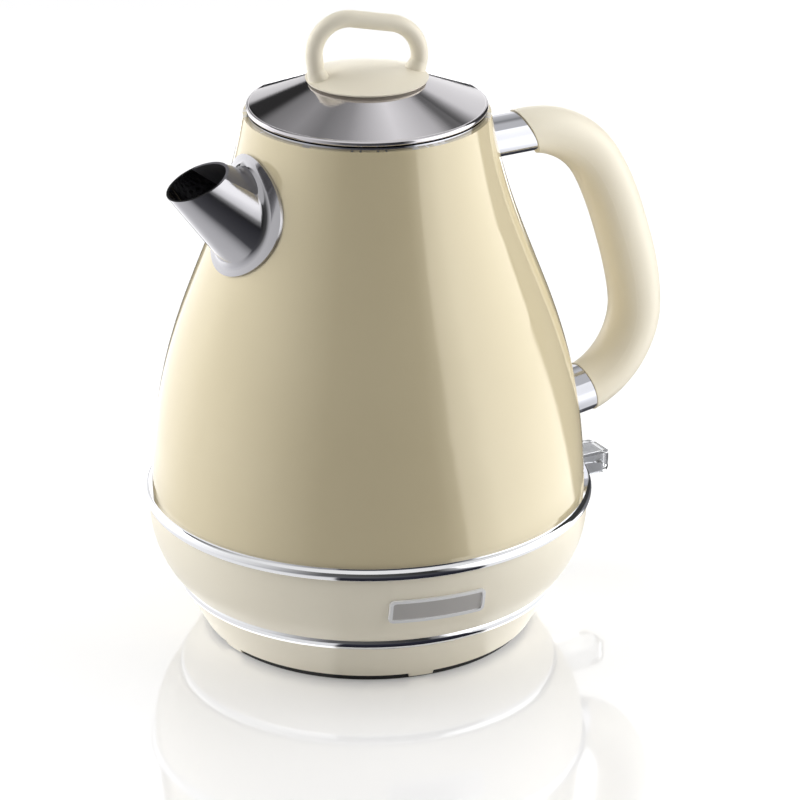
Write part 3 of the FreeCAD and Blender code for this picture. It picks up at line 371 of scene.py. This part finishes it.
def badgeMetal(name, look):
    material, tree, shader = startFinish(name, look)
    place = splitOf(tree, objectCoords(tree, turn=look["grainTurn"]))
    raised = mathOf(tree, "SUBTRACT", place["Z"], look["panelHeight"])
    halfWidth, halfHeight = look["panelHalf"]
    inside = product(tree, within(tree, place["X"], halfWidth), within(tree, raised, halfHeight))
    colour = mixColours(tree, inside, sourceOf(shader, "Base Color"), look["panel"])
    metal = rangeOf(tree, inside, look["metal"], look["panelMetal"], onOff)
    tree.links.new(colour, shader.inputs["Base Color"])
    tree.links.new(metal, shader.inputs["Metallic"])
    return material


dress(badgeMetal("badgeMetal", badgeLook), "badge_plate")
print("materials on", len(nodes), "nodes")

# Studio: angles are degrees round the kettle from the camera's side, positive to the right
studioLook = {"cameraSide": -120.0, "aim": (0.0, 0.0, 0.12), "aroundGlow": 2.15}


def sideways(angle, rise=0.0):
    turn = math.radians(studioLook["cameraSide"] + angle)
    lift = math.radians(rise)
    level = math.cos(lift)
    return Vector((math.cos(turn) * level, math.sin(turn) * level, math.sin(lift)))


# Softboxes light the kettle; what it mirrors is drawn on the walls and the floor
softboxes = {
    "leftSoftbox": {"angle": -93, "rise": 20, "distance": 1.0, "width": 1.2, "height": 1.0,
                    "strength": 2.75},
    "rightSoftbox": {"angle": 96, "rise": 18, "distance": 1.0, "width": 1.5, "height": 0.8,
                     "strength": 3.05},
    "topSoftbox": {"angle": 175, "rise": 72, "distance": 1.2, "width": 1.0, "height": 0.8,
                   "strength": 1.6},
}


def softbox(name, look):
    light = bpy.data.lights.new(name, "AREA")
    light.shape = "RECTANGLE"
    light.size = look["width"]
    light.size_y = look["height"]
    faceArea = look["width"] * look["height"]
    light.energy = look["strength"] * math.pi * faceArea    # strength is how bright its face is
    lamp = bpy.data.objects.new(name, light)
    bpy.context.scene.collection.objects.link(lamp)
    away = sideways(look["angle"], look["rise"])
    lamp.location = Vector(studioLook["aim"]) + away * look["distance"]
    lamp.rotation_euler = away.to_track_quat("Z", "Y").to_euler()
    lamp.visible_glossy = False


for name, look in softboxes.items():
    softbox(name, look)


def directions(tree, vector):
    # how far it goes to the right and to the front, and its heading from the front
    right = vectorOf(tree, "DOT_PRODUCT", vector, sideways(quarterTurn), result="Value")
    front = vectorOf(tree, "DOT_PRODUCT", vector, sideways(0), result="Value")
    return right, front, mathOf(tree, "ARCTAN2", right, front)


def greyRamp(tree, angle, stops, reach):
    # stops give degrees and grey, and a third number where the grey covers less than all
    ramp = addNode(tree, "ShaderNodeValToRGB")
    middle = 0.5
    while len(ramp.color_ramp.elements) < len(stops):
        ramp.color_ramp.elements.new(middle)
    for element, (degrees, grey, *cover) in zip(ramp.color_ramp.elements, stops):
        element.position = degrees / (2 * reach) + middle
        element.color = (grey, grey, grey, *(cover or [1]))
    limit = math.radians(reach)
    tree.links.new(rangeOf(tree, angle, *onOff, (-limit, limit)), ramp.inputs["Fac"])
    return ramp.outputs["Color"], ramp.outputs["Alpha"]


# Studio walls: panels behind the kettle for the lid, a dark front, a bright right side
worldLook = {
    "back": [(-90, 0.90), (-49, 0.68), (-44, 0.03), (-33.5, 0.03), (-30, 0.22), (-21, 0.33),
             (-14, 0.22), (-6, 0.31), (8, 0.86), (20, 0.53), (24, 0.12), (27, 0.18),
             (32, 0.77), (60, 0.95)],
    "backGlow": 1.1, "backBlend": (-0.5, 0.0), "sideGrey": 0.84, "diffuseShare": 0.25,
    "lowTop": 0.5, "lowHalf": 0.13, "lowGlow": 1.35,    # bright strip low in the middle
    "around": [(-148, 0.81, 0), (-136, 0.77), (-116, 0.71), (-95, 0.51), (-56, 0.325),
               (-21, 0.05), (34, 0.015), (43.5, 0.18), (46.5, 0.57), (65, 0.92),
               (118, 0.97), (121, 0.02), (155, 0.02), (160, 0.02, 0)],
    "aroundTop": 0.62,
}


def studioWorld():
    world = bpy.data.worlds.new("studioWorld")
    bpy.context.scene.world = world
    world.use_nodes = True
    tree = world.node_tree
    path = addNode(tree, "ShaderNodeLightPath").outputs
    ray = addNode(tree, "ShaderNodeTexCoord").outputs["Generated"]
    up = splitOf(tree, ray)["Z"]
    right, front, heading = directions(tree, ray)
    # panels fan out over the top, from left to right
    panels, _ = greyRamp(tree, mathOf(tree, "ARCTAN2", right, up), worldLook["back"], quarterTurn)
    panels = product(tree, panels, worldLook["backGlow"])
    low = product(tree, mathOf(tree, "LESS_THAN", up, worldLook["lowTop"]),
                  within(tree, right, worldLook["lowHalf"]))
    panels = mixColours(tree, low, panels, (worldLook["lowGlow"],) * 3)
    behind = rangeOf(tree, front, 1.0, 0.0, worldLook["backBlend"])
    grey = mixColours(tree, behind, (worldLook["sideGrey"],) * 3, panels)
    # only mirrored rays see the layout round the kettle, up to its top
    sides, cover = greyRamp(tree, heading, worldLook["around"], halfTurn)
    sides = product(tree, sides, studioLook["aroundGlow"])
    below = mathOf(tree, "LESS_THAN", up, worldLook["aroundTop"])
    cover = product(tree, cover, below, path["Is Glossy Ray"])
    share = rangeOf(tree, path["Is Diffuse Ray"], 1.0, worldLook["diffuseShare"], onOff)
    background = tree.nodes["Background"].inputs
    tree.links.new(mixColours(tree, cover, grey, sides), background["Color"])
    tree.links.new(share, background["Strength"])


studioWorld()

# Floor: white, and for mirrored rays dark from a short way out, with the walls' layout on it
floorLook = {
    "size": 30.0, "colour": (0.85, 0.85, 0.855), "glow": 0.16, "specular": 0.5,
    "sockets": {"Roughness": 0.06, "IOR": 2.1, "Emission Color": (1, 1, 1, 1)},
    "darkColour": (0.022, 0.023, 0.034), "darkFrom": 0.085,
    "bounceCover": 0.1,                                 # how dark bounced light finds it
    "closeReach": (0.15, 0.24), "closeGlow": 1.2,       # the close layout gives way to the far one
    "closeAround": [(-180, 0), (-154, 0), (-150, 0.85), (-40, 0.68), (-13, 0.62), (-11, 0),
                    (46, 0), (48, 0.7), (115, 0.96), (118.5, 0.1), (154, 0)],
    "farAround": [(-180, 0), (-154, 0), (-150, 0.81), (-116, 0.71), (-95, 0.51), (-56, 0.325),
                  (-21, 0.05), (34, 0.01), (43.5, 0.18), (46.5, 0.57), (65, 0.92),
                  (115, 0.96), (118.5, 0.1), (154, 0)],
    "stripBehind": 0.62, "stripHalf": 0.3, "stripGlow": 1.3,    # bright strip far behind
}


def floorPaint(name, look):
    material, tree, shader = startMaterial(name)
    setSockets(shader, look["sockets"])
    path = addNode(tree, "ShaderNodeLightPath").outputs
    place = objectCoords(tree)
    reach = vectorOf(tree, "LENGTH", place, result="Value")
    right, front, heading = directions(tree, place)
    strip = product(tree, mathOf(tree, "LESS_THAN", front, -look["stripBehind"]),
                    within(tree, right, look["stripHalf"]))
    offStrip = mathOf(tree, "SUBTRACT", 1.0, strip)
    # glow that mirrored rays see, and a little for the camera
    far, _ = greyRamp(tree, heading, look["farAround"], halfTurn)
    close, _ = greyRamp(tree, heading, look["closeAround"], halfTurn)
    away = rangeOf(tree, reach, *onOff, look["closeReach"])
    around = mathOf(tree, "ADD", product(tree, far, studioLook["aroundGlow"], away),
                    product(tree, close, look["closeGlow"], mathOf(tree, "SUBTRACT", 1.0, away)))
    mirrored = mixColours(tree, offStrip, (look["stripGlow"],) * 3, around)
    seen = mathOf(tree, "ADD", path["Is Camera Ray"], path["Is Transmission Ray"])
    glow = mathOf(tree, "ADD", product(tree, seen, look["glow"]),
                  product(tree, path["Is Glossy Ray"], mirrored))
    # white for the camera, dark for mirrored rays
    covered = mathOf(tree, "GREATER_THAN", reach, look["darkFrom"])
    unseen = mathOf(tree, "ADD", path["Is Glossy Ray"],
                    product(tree, path["Is Diffuse Ray"], look["bounceCover"]))
    dark = product(tree, covered, unseen, offStrip)
    colour = mixColours(tree, dark, look["colour"], look["darkColour"])
    specular = rangeOf(tree, dark, look["specular"], 0.0, onOff)
    tree.links.new(glow, shader.inputs["Emission Strength"])
    tree.links.new(colour, shader.inputs["Base Color"])
    tree.links.new(specular, shader.inputs["Specular IOR Level"])
    return material


def studioFloor():
    mesh = bpy.data.meshes.new("studioFloor")
    shape = bmesh.new()
    bmesh.ops.create_grid(shape, x_segments=1, y_segments=1, size=floorLook["size"] / 2)
    shape.to_mesh(mesh)
    shape.free()
    mesh.materials.append(floorPaint("whiteFloor", floorLook))
    floor = bpy.data.objects.new("studioFloor", mesh)
    bpy.context.scene.collection.objects.link(floor)


studioFloor()

# Camera: fitted to the ellipses of the rings and the jug's upright axis
cameraLook = {
    "place": (-0.7389, -1.3054, 0.723), "turn": (67.2, 0.0, -30.0),
    "lens": 183.0, "sensor": 36.0, "clipEnd": 100.0,
}


def studioCamera():
    data = bpy.data.cameras.new("studioCamera")
    data.lens = cameraLook["lens"]
    data.sensor_width = cameraLook["sensor"]
    data.clip_end = cameraLook["clipEnd"]
    camera = bpy.data.objects.new("studioCamera", data)
    bpy.context.scene.collection.objects.link(camera)
    camera.location = cameraLook["place"]
    camera.rotation_euler = [math.radians(angle) for angle in cameraLook["turn"]]
    bpy.context.scene.camera = camera


studioCamera()
bpy.context.scene.view_settings.view_transform = "Standard"
print("studio ready")
